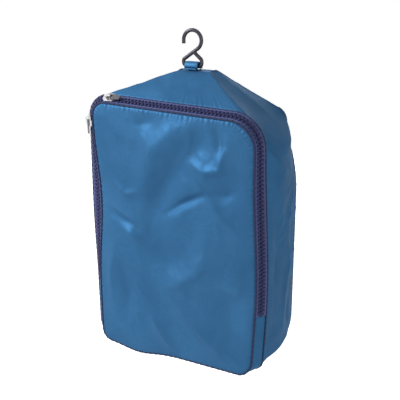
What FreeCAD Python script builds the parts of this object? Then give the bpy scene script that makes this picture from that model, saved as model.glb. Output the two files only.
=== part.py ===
import FreeCAD, Part
import math
import os
import re
import Sketcher
from FreeCAD import Matrix, Placement, Rotation, Vector

# A zipped nylon shoe bag that hangs from a wire hook.
# Frame: origin where the crook of the hook bears on a rail, +Z up, the zipped front faces -Y.

doc = FreeCAD.newDocument("shoe_bag")

# ---------------------------------------------------------------- driving dimensions (mm)
SIZES = {
    "front_width": 204,        # front panel, seam to seam
    "front_height": 300,
    "top_corner": 18,          # radius of the front panel's upper corners
    "bottom_corner": 14,
    "strip_step": 11,          # the zip strip leans back by this much and out by this much
    "gusset_depth": 93,        # from the strip's outer seam to the back panel
    "loop_setback": 57,        # from the front panel back to the hook
    "fabric": 1.2,             # nylon with its lining
    "back_board": 2.4,         # padded back
    "plateau_rise": 26,        # the pulled-up top above the strip's upper seam
    "plateau_length": 36,
    "plateau_depth": 18,
    "flap_line": 94,           # the front panel folds down about this height
    "flap_gap": 0.4,
    "zip_end": 74,             # the zip stops this far above the bottom seam
    "tape": 0.8,
    "tape_edge": 1.5,          # tape edge from the middle of the zip
    "seam_gap": 0.9,           # tape edge from its seam line
    "tooth_pitch": 4.6,
    "tooth_reach": 4.0,
    "tooth_head": 1.0,
    "tooth_width": 2.9,
    "tooth_head_width": 1.8,
    "tooth_above": 1.9,
    "tooth_below": 1.5,
    "slot_slack": 0.08,        # room for the tape in a tooth's slot, each side
    "teeth_parted": 1.2,       # each row moves out by this where the zip is open
    "binding_width": 4,
    "binding": 1,
    "binding_gap": 0.9,
    "wire": 4.4,               # hook wire diameter
    "crook_radius": 11.3,
    "tip_drop": 4,
    "lean_angle": 35,          # slope of the neck from the crook to the base, degrees
    "bar_drop": 28.5,          # bar below the centre of the crook
    "bar_half": 11.6,
    "base_corner": 3.2,
    "branch_angle": 40,        # slope of the branch that closes the base, degrees
    "branch_side": 1.4,        # where the branch meets the neck, right of the crook's centre
    "bar_gap": 4.6,            # bar centre above the bag's top
    "loop_width": 16.4,
    "loop_tape": 1.2,
    "loop_clear": 0.5,
    "loop_foot": 8.8,
    "tack_length": 13,
    "tack_width": 1.4,
    "tack": 0.5,
    "slider_length": 14,
    "slider_setback": 3.5,     # middle of a slider from the start of the corner
    "slider_width": 11,
    "slider_nose": 5.5,        # width of the nose, and how far its shoulders are from the middle
    "slider_shoulder": 4.2,
    "slider_plate": 1.1,
    "teeth_clear": 0.3,
    "channel_half": 4.3,
    "lip_gap": 0.35,
    "wedge_half": 1.1,
    "wedge_length": 5,
    "bail_length": 8,
    "bail_height": 3.8,
    "bail_bar": 1.2,
    "bail_width": 2.4,
    "pull_length": 16,
    "pull_shoulder": 9,        # the pull narrows from here to its end
    "pull_width": 7,
    "pull": 1.4,
    "pull_eye": 5.2,
    "pull_eye_width": 3.6,
    "pull_lift": 0.4,
    "stop_length": 2.6,
    "stop_height": 2.4,
}

sheet = doc.addObject("Spreadsheet::Sheet", "dims")
for row, (name, size) in enumerate(SIZES.items(), start=1):
    sheet.set(f"A{row}", name)
    sheet.set(f"B{row}", str(size))
    sheet.setAlias(f"B{row}", name)
doc.recompute()


def bound(text):
    """Write a formula of named sizes as a FreeCAD expression on the sheet."""
    return re.sub(r"[a-z_]{3,}", lambda w: "dims." + w[0] if w[0] in SIZES else w[0], str(text))


def value(text):
    return float(sheet.evalExpression(bound(text)))


# Levels and planes that several pieces share, as formulas of the sheet's sizes.
CROOK_Z = "(wire / 2 - crook_radius)"
BAR_Z = f"({CROOK_Z} - bar_drop)"
PLATEAU_Z = f"({BAR_Z} - bar_gap)"
TOP_Z = f"({PLATEAU_Z} - plateau_rise - strip_step)"
BOTTOM_Z = f"({TOP_Z} - front_height)"
ROOF_Z = f"({TOP_Z} - top_corner)"
FLOOR_Z = f"({BOTTOM_Z} + bottom_corner)"
FOLD_Z = f"({BOTTOM_Z} + flap_line)"
ZIP_END_Z = f"({BOTTOM_Z} + zip_end)"
FRONT_Y = "(-loop_setback)"
SEAM_Y = "(strip_step - loop_setback)"
STRIP_Y = "(strip_step / 2 - loop_setback)"
BACK_Y = "(strip_step - loop_setback + gusset_depth)"
HALF = "(front_width / 2)"


# ---------------------------------------------------------------- sketch and body helpers
def plane_of(body, role):
    return next(f for f in body.Origin.OriginFeatures if f.Role == role)


def new_sketch(body, role, offset="0"):
    """A sketch on one of the body's origin planes, moved along that plane's normal by offset."""
    sketch = body.newObject("Sketcher::SketchObject", body.Label + "_sketch")
    sketch.AttachmentSupport = [(plane_of(body, role), "")]
    sketch.MapMode = "FlatFace"
    sketch.setExpression("AttachmentOffset.Base.z", bound(offset))
    return sketch


def pin_point(sketch, geometry, end, point, axes="XY"):
    """Bind a point's coordinates to the sheet."""
    for axis in axes:
        text = point["XY".index(axis)]
        kind = "Distance" + axis
        number = sketch.addConstraint(
            Sketcher.Constraint(kind, -1, 1, geometry, end, value(text)))
        sketch.setExpression(f"Constraints[{number}]", bound(text))


def draw(sketch, points, arcs=None, closed=True):
    """Draw a run of lines and arcs through points; arcs maps a segment to (centre, turns_left)."""
    arcs = arcs or {}
    flat = [Vector(value(x), value(y), 0) for x, y in points]
    count = len(points) if closed else len(points) - 1
    joints = []
    for i in range(count):
        a, b = flat[i], flat[(i + 1) % len(points)]
        if i not in arcs:
            geometry = sketch.addGeometry(Part.LineSegment(a, b))
            joints.append((geometry, 1, 2))
            continue
        centre_text, turns_left = arcs[i]
        centre = Vector(value(centre_text[0]), value(centre_text[1]), 0)
        first, last = (a, b) if turns_left else (b, a)
        angle = [math.atan2((p - centre).y, (p - centre).x) for p in (first, last)]
        if angle[1] < angle[0]:
            angle[1] += 2 * math.pi
        circle = Part.Circle(centre, Vector(0, 0, 1), (a - centre).Length)
        geometry = sketch.addGeometry(Part.ArcOfCircle(circle, angle[0], angle[1]))
        joints.append((geometry, 1, 2) if turns_left else (geometry, 2, 1))
        across = b - a
        pin_point(sketch, geometry, 3, centre_text, "Y" if abs(across.x) > abs(across.y) else "X")
    for i, (geometry, start, _) in enumerate(joints):
        pin_point(sketch, geometry, start, points[i])
        if i or closed:
            before = joints[i - 1]
            sketch.addConstraint(
                Sketcher.Constraint("Coincident", before[0], before[2], geometry, start))
    if not closed:
        pin_point(sketch, joints[-1][0], joints[-1][2], points[-1])


def rounded_outline(offset, low=None, high=None):
    """Points and arcs of the bag's outline, offset outward; low and high cut it off square."""
    side, top, bottom = f"({HALF} + {offset})", f"({TOP_Z} + {offset})", f"({BOTTOM_Z} - {offset})"
    inner_top, inner_side = f"({ROOF_Z})", f"({HALF} - top_corner)"
    inner_bottom, low_side = f"({FLOOR_Z})", f"({HALF} - bottom_corner)"
    points, arcs = [], {}
    if low is None:
        arcs[len(points)] = ((f"-{low_side}", inner_bottom), True)
        points += [(f"-{side}", inner_bottom), (f"-{low_side}", bottom)]
        arcs[len(points)] = ((low_side, inner_bottom), True)
        points += [(low_side, bottom), (side, inner_bottom)]
    else:
        points += [(f"-{side}", low), (side, low)]
    if high is None:
        arcs[len(points)] = ((inner_side, inner_top), True)
        points += [(side, inner_top), (inner_side, top)]
        arcs[len(points)] = ((f"-{inner_side}", inner_top), True)
        points += [(f"-{inner_side}", top), (f"-{side}", inner_top)]
    else:
        points += [(side, high), (f"-{side}", high)]
    return points, arcs


def new_body(label):
    body = doc.addObject("PartDesign::Body", label)
    body.Label = label
    return body


def pad(body, sketch, length, backward=False, name="Pad"):
    feature = body.newObject("PartDesign::Pad", f"{body.Label}_{name}")
    feature.Profile = sketch
    feature.setExpression("Length", bound(length))
    feature.Reversed = backward
    sketch.Visibility = False
    doc.recompute()
    return feature


def panel(label, front_y, thickness, offset, low=None, high=None):
    """A flat panel cut to the bag's outline, from front_y back by its thickness."""
    body = new_body(label)
    sketch = new_sketch(body, "XZ_Plane", f"-{front_y}")
    draw(sketch, *rounded_outline(offset, low, high))
    pad(body, sketch, thickness, backward=True)
    return body


def box(label, low, size):
    """A plain block from its lowest corner and its three sizes."""
    block = doc.addObject("Part::Box", label)
    for axis, corner, prop, length in zip("xyz", low, ("Length", "Width", "Height"), size):
        block.setExpression(f"Placement.Base.{axis}", bound(corner))
        block.setExpression(prop, bound(length))
    return block


def group(label, shapes):
    """Several like solids that share one name."""
    feature = doc.addObject("Part::Feature", label)
    feature.Shape = Part.makeCompound(shapes) if len(shapes) > 1 else shapes[0]
    return feature



# ---------------------------------------------------------------- hook
def hook():
    """One wire: an open crook, a leaning neck and a closed base with a straight bar."""
    body = new_body("hook")
    lean, branch = "(lean_angle * 1 deg)", "(branch_angle * 1 deg)"
    neck_x = f"(crook_radius * sin{lean})"
    neck_z = f"({CROOK_Z} - crook_radius * cos{lean})"
    left_z = f"({neck_z} - ({neck_x} + bar_half) * tan{lean})"
    meet_z = f"({neck_z} - ({neck_x} - branch_side) * tan{lean})"
    right_z = f"({meet_z} - (bar_half - branch_side) * tan{branch})"
    left_cut = "(base_corner * tan((90 - lean_angle) / 2 * 1 deg))"
    right_cut = "(base_corner * tan((90 - branch_angle) / 2 * 1 deg))"
    inner, low = "(bar_half - base_corner)", f"({BAR_Z} + base_corner)"
    points = [
        ("-crook_radius", f"{CROOK_Z} - tip_drop"),
        ("-crook_radius", CROOK_Z),
        (neck_x, neck_z),
        (f"{left_cut} * cos{lean} - bar_half", f"{left_z} + {left_cut} * sin{lean}"),
        ("-bar_half", f"{left_z} - {left_cut}"),
        ("-bar_half", low),
        (f"-{inner}", BAR_Z),
        (inner, BAR_Z),
        ("bar_half", low),
        ("bar_half", f"{right_z} - {right_cut}"),
        (f"bar_half - {right_cut} * cos{branch}", f"{right_z} + {right_cut} * sin{branch}"),
        ("branch_side", meet_z),
    ]
    arcs = {
        1: (("0", CROOK_Z), False),
        3: ((f"-{inner}", f"{left_z} - {left_cut}"), True),
        5: ((f"-{inner}", low), True),
        7: ((inner, low), True),
        9: ((inner, f"{right_z} - {right_cut}"), True),
    }
    path = new_sketch(body, "XZ_Plane")
    draw(path, points, arcs, closed=False)
    ring = new_sketch(body, "XY_Plane", f"{CROOK_Z} - tip_drop")
    centre = Vector(value(points[0][0]), 0, 0)
    circle = ring.addGeometry(Part.Circle(centre, Vector(0, 0, 1), value("wire / 2")))
    pin_point(ring, circle, 3, (points[0][0], "0"))
    size = ring.addConstraint(Sketcher.Constraint("Diameter", circle, value("wire")))
    ring.setExpression(f"Constraints[{size}]", bound("wire"))
    doc.recompute()
    pipe = body.newObject("PartDesign::AdditivePipe", "hook_wire")
    pipe.Profile = ring
    pipe.Spine = path
    doc.recompute()
    return body


# ---------------------------------------------------------------- hanging loop
def hanging_loop():
    """A folded tape round the hook's bar, with two feet sewn flat on the bag's top."""
    body = new_body("hanging_loop")
    inner, outer = "(wire / 2 + loop_clear)", "(wire / 2 + loop_clear + loop_tape)"
    foot_top = f"({PLATEAU_Z} + loop_tape)"
    points = [
        (outer, BAR_Z), (f"-{outer}", BAR_Z), (f"-{outer}", foot_top),
        ("-loop_foot", foot_top), ("-loop_foot", PLATEAU_Z), (f"-{inner}", PLATEAU_Z),
        (f"-{inner}", BAR_Z), (inner, BAR_Z), (inner, PLATEAU_Z),
        ("loop_foot", PLATEAU_Z), ("loop_foot", foot_top), (outer, foot_top),
    ]
    centre = ("0", BAR_Z)
    sketch = new_sketch(body, "YZ_Plane", "-loop_width / 2")
    draw(sketch, points, {0: (centre, True), 6: (centre, False)})
    pad(body, sketch, "loop_width")
    return body


def loop_tacks():
    """The bar tacks that hold the loop's feet."""
    blocks = []
    middle = (value("wire / 2 + loop_clear + loop_tape") + value("loop_foot")) / 2
    for side in (-1, 1):
        corner = Vector(-value("tack_length") / 2, side * middle - value("tack_width") / 2,
                        value(f"{PLATEAU_Z} + loop_tape"))
        blocks.append(Part.makeBox(value("tack_length"), value("tack_width"), value("tack"), corner))
    return group("loop_tacks", blocks)


# ---------------------------------------------------------------- top, sides, bottom and back
def seam_section(y, inset):
    """The roof's outline where it meets the strip or the back: a straight top, round shoulders."""
    side = value(f"{HALF} + strip_step") - inset
    radius = value("top_corner + strip_step") - inset
    spring, flat = value(ROOF_Z), side - radius
    slant = radius * math.sqrt(0.5)

    corners = [Vector(-side, y, spring), Vector(-flat, y, spring + radius),
               Vector(flat, y, spring + radius), Vector(side, y, spring)]
    left = Part.Arc(corners[0], Vector(-flat - slant, y, spring + slant), corners[1])
    right = Part.Arc(corners[2], Vector(flat + slant, y, spring + slant), corners[3])
    return Part.Wire([left.toShape(), Part.makeLine(corners[1], corners[2]),
                      right.toShape(), Part.makeLine(corners[3], corners[0])])


def ridge_section(y, inset):
    """The roof's outline under the hook: straight up to the flat top."""
    side, spring = value(f"{HALF} + strip_step") - inset, value(ROOF_Z)
    half, top = value("plateau_length / 2") - inset / 2, value(PLATEAU_Z) - inset
    points = [Vector(-side, y, spring), Vector(-half, y, top),
              Vector(half, y, top), Vector(side, y, spring)]
    return Part.makePolygon(points + points[:1])


def roof_solid(inset):
    half_ridge = value("plateau_depth / 2") - inset / 2
    sections = [seam_section(value(SEAM_Y), inset), ridge_section(-half_ridge, inset),
                ridge_section(half_ridge, inset), seam_section(value(BACK_Y), inset)]
    return Part.makeLoft(sections, True, True)


def top_panel():
    """The roof: four slopes drawn up to a small flat top where the loop is sewn."""
    return group("top_panel", [roof_solid(0).cut(roof_solid(value("fabric")))])


def side_gusset(label, corner_x):
    return box(label, (corner_x, SEAM_Y, FLOOR_Z),
               ("fabric", "gusset_depth", f"{ROOF_Z} - {FLOOR_Z}"))


def bottom_panel():
    """The floor of the bag, curved up into the sides at both ends."""
    body = new_body("bottom_panel")
    side, low = f"({HALF} + strip_step)", f"({BOTTOM_Z} - strip_step)"
    flat = f"({HALF} - bottom_corner)"
    points = [
        (f"-{side}", FLOOR_Z), (f"-{flat}", low), (flat, low), (side, FLOOR_Z),
        (f"{side} - fabric", FLOOR_Z), (flat, f"{low} + fabric"),
        (f"-{flat}", f"{low} + fabric"), (f"fabric - {side}", FLOOR_Z),
    ]
    left, right = (f"-{flat}", FLOOR_Z), (flat, FLOOR_Z)
    arcs = {0: (left, True), 2: (right, True), 4: (right, False), 6: (left, False)}
    sketch = new_sketch(body, "XZ_Plane", f"-{BACK_Y}")
    draw(sketch, points, arcs)
    pad(body, sketch, "gusset_depth")
    return body


def binding_ring(label, front_y):
    """Bias tape that binds a seam allowance all round, standing into the bag."""
    outer = "(strip_step - fabric - binding_gap)"
    ring = panel(label, front_y, "binding", outer)
    hole = new_sketch(ring, "XZ_Plane", f"-{front_y}")
    draw(hole, *rounded_outline(f"({outer} - binding_width)"))
    pocket = ring.newObject("PartDesign::Pocket", label + "_opening")
    pocket.Profile = hole
    pocket.setExpression("Length", bound("binding"))
    before = ring.Shape.Volume
    doc.recompute()
    if abs(ring.Shape.Volume - before) < 1:
        pocket.Reversed = True
        doc.recompute()
    return ring


# ---------------------------------------------------------------- the slanted strip round the front
def strip_profile(across, above, z):
    """A slanted rectangle on the left leg, from its spans across the strip and above it."""
    centre = Vector(value(f"-({HALF} + strip_step / 2)"), value(STRIP_Y), z)
    inward, outward = Vector(1, -1, 0).normalize(), Vector(-1, -1, 0).normalize()
    corners = [centre + inward * v + outward * w
               for v, w in ((across[0], above[0]), (across[1], above[0]),
                            (across[1], above[1]), (across[0], above[1]))]
    return Part.Face(Part.makePolygon(corners + corners[:1]))


def mirrored(shape):
    return shape.mirror(Vector(0, 0, 0), Vector(1, 0, 0))


def strip_leg(across, above, low, high):
    return strip_profile(across, above, low).extrude(Vector(0, 0, high - low))


def strip_arch(across, above, low):
    """A band of the strip from low on one leg, over the top, to low on the other."""
    spring, flat = value(ROOF_Z), value(f"{HALF} - top_corner")
    leg = strip_leg(across, above, low, spring)
    axis = Vector(-flat, 0, spring)
    start = strip_profile(across, above, spring)
    corner = start.revolve(axis, Vector(0, 1, 0), 90)
    turned = start.copy()
    turned.rotate(axis, Vector(0, 1, 0), 90)
    run = turned.extrude(Vector(2 * flat, 0, 0))
    return run.fuse([leg, corner, mirrored(leg), mirrored(corner)]).removeSplitter()


def strip_trough(across, above, high):
    """A band of the strip from high on one leg, round the bottom, to high on the other."""
    spring, flat = value(FLOOR_Z), value(f"{HALF} - bottom_corner")
    leg = strip_leg(across, above, spring, high)
    axis = Vector(-flat, 0, spring)
    start = strip_profile(across, above, spring)
    corner = start.revolve(axis, Vector(0, -1, 0), 90)
    turned = start.copy()
    turned.rotate(axis, Vector(0, -1, 0), 90)
    run = turned.extrude(Vector(2 * flat, 0, 0))
    return run.fuse([leg, corner, mirrored(leg), mirrored(corner)]).removeSplitter()


def strip_pieces():
    edge, rim = value("tape_edge"), value("strip_step * sqrt(2) / 2 - seam_gap")
    tape, cloth = value("tape") / 2, value("fabric") / 2
    zip_end, fold = value(ZIP_END_Z), value(f"{FOLD_Z} + flap_gap / 2")
    outer, inner = (-rim, -edge), (edge, rim)
    group("lower_front_gusset", [strip_trough((-rim, rim), (-cloth, cloth), zip_end)])
    group("zip_tape_outer", [strip_arch(outer, (-tape, tape), zip_end)])
    group("zip_tape_inner", [strip_arch(inner, (-tape, tape), fold)])
    foot = strip_leg(inner, (-tape, tape), zip_end, value(f"{FOLD_Z} - flap_gap / 2"))
    group("zip_tape_inner_foot", [foot, mirrored(foot)])
    low = value(ZIP_END_Z) + value("stop_length") / 2
    stop = strip_leg((-value("tooth_reach"), value("tooth_reach")),
                     (tape, value("stop_height")), low, low + value("stop_length"))
    group("zip_end_stops", [stop, mirrored(stop)])


# ---------------------------------------------------------------- teeth
def tooth(moved_out):
    """A moulded tooth at the origin: X along the zip, +Y to its own tape, +Z out of the bag.

    Its slot takes the tape's edge, and is deeper on a tooth that is moved out from the middle.
    """
    half, head = value("tooth_width / 2"), value("tooth_head_width / 2")
    reach, tip = value("tooth_reach"), value("tooth_head")
    shoulder, neck = tip + value("teeth_clear"), half / 2
    plan = [(-half, reach), (-half, shoulder), (-neck, 0), (-head, -tip / 2), (-neck, -tip),
            (neck, -tip), (head, -tip / 2), (neck, 0), (half, shoulder), (half, reach)]
    below, above = -value("tooth_below"), value("tooth_above")
    corners = [Vector(x, y, below) for x, y in plan]
    block = Part.Face(Part.makePolygon(corners + corners[:1])).extrude(Vector(0, 0, above - below))
    edge, slack = value("tape_edge") - moved_out, value("tape / 2 + slot_slack")
    slot = Part.makeBox(2 * half, reach, 2 * slack, Vector(-half, edge, -slack))
    return block.cut(slot)


def zip_place(run):
    """Directions along, across and out of the zip, and its middle, at a run from its left end."""
    spring, flat = value(ROOF_Z), value(f"{HALF} - top_corner")
    leg, radius = spring - value(ZIP_END_Z), value("top_corner + strip_step / 2")
    bend, top = radius * math.pi / 2, 2 * flat
    if run > leg + bend + top / 2:
        return mirror_place(zip_place(2 * (leg + bend) + top - run))
    angle = min(max(run - leg, 0) / radius, math.pi / 2)
    radial = Vector(-math.cos(angle), 0, math.sin(angle))
    along = Vector(math.sin(angle), 0, math.cos(angle))
    outside = (radial + Vector(0, 1, 0)).normalize()
    outward = (radial - Vector(0, 1, 0)).normalize()
    centre = Vector(-flat, value(STRIP_Y), spring) + radial * radius
    centre += Vector(0, 0, min(run - leg, 0)) + Vector(max(run - leg - bend, 0), 0, 0)
    return along, outside, outward, centre


def mirror_place(place):
    along, outside, outward, centre = (Vector(-p.x, p.y, p.z) for p in place)
    return -along, outside, outward, centre


def frame_matrix(x_axis, y_axis, z_axis, origin):
    return Matrix(x_axis.x, y_axis.x, z_axis.x, origin.x,
                  x_axis.y, y_axis.y, z_axis.y, origin.y,
                  x_axis.z, y_axis.z, z_axis.z, origin.z, 0, 0, 0, 1)


def teeth():
    """Both rows; a row is parted between the two sliders, and has none inside their noses."""
    pitch = value("tooth_pitch")
    patterns = {moved: tooth(moved) for moved in (0, value("teeth_parted"))}
    leg = value(f"{ROOF_Z} - {ZIP_END_Z}")
    bend = value("top_corner + strip_step / 2") * math.pi / 2
    length = 2 * (leg + bend + value(f"{HALF} - top_corner"))
    nose = value("slider_length / 2")
    setback = value("slider_setback")
    open_from, open_to = leg - setback + nose, leg + bend + setback - nose
    wedge = value("wedge_length + teeth_clear") + value("tooth_width") / 2
    fold = value("flap_line - zip_end")
    rows = {"outer": [], "inner": [], "foot": []}
    first = value("stop_length * 2 + tooth_width")
    for number in range(int((length - 2 * first) / pitch)):
        for row, way in (("outer", 1), ("inner", -1)):
            run = first + (number + (0 if way > 0 else 0.5)) * pitch
            if open_from - wedge < run < open_from + pitch / 2:
                continue
            if open_to - pitch / 2 < run < open_to + wedge:
                continue
            parted = value("teeth_parted") if open_from < run < open_to else 0
            along, outside, outward, centre = zip_place(run)
            side = outside * way
            place = frame_matrix(along * way * handed(along, outside, outward), side, outward,
                                 centre + side * parted)
            from_end = min(run, length - run)
            if row == "inner" and abs(from_end - fold) < value("tooth_width / 2 + flap_gap"):
                continue
            name = "foot" if row == "inner" and from_end < fold else row
            rows[name].append(patterns[parted].transformGeometry(place))
    group("zip_teeth_outer", rows["outer"])
    group("zip_teeth_inner", rows["inner"])
    group("zip_teeth_inner_foot", rows["foot"])


def handed(x_axis, y_axis, z_axis):
    return 1 if x_axis.cross(y_axis).dot(z_axis) > 0 else -1


# ---------------------------------------------------------------- sliders
def slider_place(side):
    """Each slider sits at the end of its straight run, next to the upper left corner."""
    spring, flat = value(ROOF_Z), value(f"{HALF} - top_corner")
    reach = value("top_corner + strip_step / 2")
    if side == "left":
        along, outward = Vector(0, 0, -1), Vector(-1, -1, 0).normalize()
        centre = Vector(-flat - reach, value(STRIP_Y), spring - value("slider_setback"))
    else:
        along, outward = Vector(1, 0, 0), Vector(0, -1, 1).normalize()
        centre = Vector(value("slider_setback") - flat, value(STRIP_Y), spring + reach)
    across = outward.cross(along)
    return Placement(frame_matrix(along, across, outward, centre))


def slider_body(side):
    """Two plates with turned-in lips, joined by the wedge that parts the teeth."""
    long, wide = value("slider_length"), value("slider_width")
    plate, wedge = value("slider_plate"), value("wedge_half")
    above = value("tooth_above + teeth_clear")
    below = -value("tooth_below + teeth_clear")
    lip, channel = value("tape / 2 + lip_gap"), value("channel_half")
    nose, tail = -long / 2, long / 2
    shoulder, half_nose = -value("slider_shoulder"), value("slider_nose") / 2
    plan = [(nose, -half_nose), (shoulder, -wide / 2), (tail, -wide / 2 + plate / 2),
            (tail, wide / 2 - plate / 2), (shoulder, wide / 2), (nose, half_nose)]

    def slab(low, high):
        corners = [Vector(x, y, low) for x, y in plan]
        face = Part.Face(Part.makePolygon(corners + corners[:1]))
        return face.extrude(Vector(0, 0, high - low))

    def lips(low, high):
        """The turned-in edges, on the tail half only, where the strip runs straight."""
        return [Part.makeBox(tail, wide / 2 - plate / 2 - channel, high - low,
                             Vector(0, y, low)) for y in (channel, plate / 2 - wide / 2)]

    upper = slab(above, above + plate).fuse(lips(lip, above))
    lower = slab(below - plate, below).fuse(lips(below, -lip))
    tip = [(nose, -wedge), (nose + value("wedge_length"), 0), (nose, wedge)]
    corners = [Vector(x, y, below) for x, y in tip]
    post = Part.Face(Part.makePolygon(corners + corners[:1])).extrude(Vector(0, 0, above - below))
    feature = group(f"slider_{side}_body", [upper.fuse([lower, post]).removeSplitter()])
    feature.Placement = slider_place(side)
    return feature


def slider_bail(side):
    """The bridge crimped on the slider's top plate, which the pull swings on."""
    long, high, bar = value("bail_length"), value("bail_height"), value("bail_bar")
    wide = value("bail_width")
    base = value("tooth_above + teeth_clear + slider_plate")
    arch = Part.makeBox(long, wide, high, Vector(-long / 2, -wide / 2, base))
    gap = Part.makeBox(long - 2 * bar, wide, high - bar, Vector(bar - long / 2, -wide / 2, base))
    feature = group(f"slider_{side}_bail", [arch.cut(gap)])
    feature.Placement = slider_place(side)
    return feature


def slider_pull(side):
    """The pull tab: its end bar lies under the bridge, and the bridge stands in its eye."""
    thick, wide, long = value("pull"), value("pull_width"), value("pull_length")
    eye, eye_wide = value("pull_eye"), value("pull_eye_width")
    low = value("tooth_above + teeth_clear + slider_plate + pull_lift")
    taper = wide / 2 - thick / 2
    shoulder = value("pull_shoulder")
    plan = [(-thick / 2, -wide / 2), (shoulder, -wide / 2), (long, -taper), (long, taper),
            (shoulder, wide / 2), (-thick / 2, wide / 2)]
    corners = [Vector(x, y, low) for x, y in plan]
    tab = Part.Face(Part.makePolygon(corners + corners[:1])).extrude(Vector(0, 0, thick))
    window = Part.makeBox(eye, eye_wide, thick, Vector(thick / 2, -eye_wide / 2, low))
    feature = group(f"slider_{side}_pull", [tab.cut(window)])
    feature.Placement = slider_place(side)
    return feature


# ---------------------------------------------------------------- flap binding
def flap_binding():
    """Bias tape behind the upper front panel's edge, an arch with two straight legs."""
    low = f"({FOLD_Z} + flap_gap + binding)"
    front = f"({FRONT_Y} + fabric / 2 + binding_gap / 3)"
    body = panel("seam_binding_flap", front, "binding", "(-binding_gap)", low=low)
    hole = new_sketch(body, "XZ_Plane", f"-{front}")
    side = "(-binding_gap - binding_width)"
    draw(hole, *rounded_outline(side, low=f"({FOLD_Z} - binding)"))
    pocket = body.newObject("PartDesign::Pocket", "seam_binding_flap_opening")
    pocket.Profile = hole
    pocket.setExpression("Length", bound("binding"))
    before = body.Shape.Volume
    doc.recompute()
    if abs(body.Shape.Volume - before) < 1:
        pocket.Reversed = True
        doc.recompute()
    return body


# ---------------------------------------------------------------- build
hook()
hanging_loop()
loop_tacks()
top_panel()
side_gusset("left_gusset", f"-{HALF} - strip_step")
side_gusset("right_gusset", f"{HALF} + strip_step - fabric")
bottom_panel()
panel("back_panel", BACK_Y, "back_board", "strip_step")
binding_ring("seam_binding_front", f"({SEAM_Y} + binding_gap * 2 / 3)")
binding_ring("seam_binding_back", f"({BACK_Y} - binding - binding_gap / 3)")
strip_pieces()
FRONT_FACE = f"({FRONT_Y} - fabric / 2)"
panel("front_panel_lower", FRONT_FACE, "fabric", "0", high=f"({FOLD_Z} - flap_gap / 2)")
panel("front_panel", FRONT_FACE, "fabric", "0", low=f"({FOLD_Z} + flap_gap / 2)")
flap_binding()
teeth()
for side in ("left", "right"):
    slider_body(side)
    slider_bail(side)
    slider_pull(side)

doc.recompute()
pieces = [o for o in doc.RootObjects if o.isDerivedFrom("Part::Feature")]
for item in doc.Objects:
    if "Invalid" in item.State or "Error" in item.State:
        raise RuntimeError(f"{item.Label} did not build: {item.State}")
for item in pieces:
    if item.Shape.isNull() or not item.Shape.isValid():
        raise RuntimeError(f"{item.Label} has no valid shape")

os.makedirs("parts", exist_ok=True)
for item in pieces:
    item.Shape.exportStep(f"parts/{item.Label}.step")
print(len(pieces), "pieces written")
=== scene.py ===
import math

import bpy
import numpy as np
from mathutils import Matrix, Vector, geometry, noise


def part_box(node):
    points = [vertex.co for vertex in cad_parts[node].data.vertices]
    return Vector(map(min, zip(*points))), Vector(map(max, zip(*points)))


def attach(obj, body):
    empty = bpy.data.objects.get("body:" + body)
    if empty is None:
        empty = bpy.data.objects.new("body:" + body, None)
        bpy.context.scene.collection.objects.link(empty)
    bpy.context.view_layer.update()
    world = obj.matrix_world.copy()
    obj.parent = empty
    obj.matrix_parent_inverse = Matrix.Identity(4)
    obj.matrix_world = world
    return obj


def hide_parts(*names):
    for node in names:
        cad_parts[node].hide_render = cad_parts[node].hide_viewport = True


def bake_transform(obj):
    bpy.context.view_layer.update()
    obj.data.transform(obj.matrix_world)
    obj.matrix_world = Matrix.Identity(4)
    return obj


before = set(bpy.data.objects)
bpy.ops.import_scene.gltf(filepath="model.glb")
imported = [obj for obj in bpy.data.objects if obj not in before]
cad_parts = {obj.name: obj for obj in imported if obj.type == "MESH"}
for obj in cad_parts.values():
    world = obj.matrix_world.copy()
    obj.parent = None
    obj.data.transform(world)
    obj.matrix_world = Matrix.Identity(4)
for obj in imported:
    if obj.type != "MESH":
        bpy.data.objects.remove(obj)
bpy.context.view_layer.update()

# ---- Camera, floor and lamps
# A plain studio: a pale floor well below the hanging bag and a white surround.
# A large soft lamp stands high on the left of the front, a weak one fills the right side.
MM = 0.001
panel_low, panel_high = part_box("front_panel")
front_y = (panel_low.y + panel_high.y) / 2 / MM
half_width, top_z = panel_high.x / MM, panel_high.z / MM
bottom_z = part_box("front_panel_lower")[0].z / MM

azimuth, elevation, roll = math.radians(28.0), math.radians(18.88), math.radians(-0.28)
camera_distance, lens, sensor = 877.3, 65.5, 36.0
back = Vector((math.sin(azimuth) * math.cos(elevation),
               -math.cos(azimuth) * math.cos(elevation), math.sin(elevation)))
right = Vector((math.cos(azimuth), math.sin(azimuth), 0))
up = back.cross(right)
look_right, look_up = 15.53, 32.93
middle_of_bag = Vector((0, front_y + 40, bottom_z + 150))
aim = middle_of_bag + right * look_right + up * look_up
turned = Matrix((right * math.cos(roll) + up * math.sin(roll),
                 up * math.cos(roll) - right * math.sin(roll), back)).transposed().to_4x4()
turned.translation = (aim + back * camera_distance) * MM
camera_data = bpy.data.cameras.new("camera")
camera_data.sensor_width, camera_data.lens, camera_data.clip_end = sensor, lens, 50
camera = bpy.data.objects.new("camera", camera_data)
camera.matrix_world = turned
bpy.context.scene.collection.objects.link(camera)
bpy.context.scene.camera = camera
bpy.context.scene.view_settings.view_transform = "Standard"


def new_material(name):
    """A new material, with its node tree and its shader."""
    material = bpy.data.materials.new(name)
    material.use_nodes = True
    return material, material.node_tree, material.node_tree.nodes["Principled BSDF"]


def add_node(tree, kind, links=None, **settings):
    """A new node: settings are its properties, links go from output sockets into its inputs."""
    node = tree.nodes.new(kind)
    for key, setting in settings.items():
        setattr(node, key, setting)
    for socket, source in (links or {}).items():
        if isinstance(source, bpy.types.NodeSocket):
            tree.links.new(source, node.inputs[socket])
        else:
            node.inputs[socket].default_value = source
    return node


def on_piece(tree):
    """Places measured on the piece itself, so its pattern moves with it."""
    return add_node(tree, "ShaderNodeTexCoord").outputs["Object"]


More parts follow.
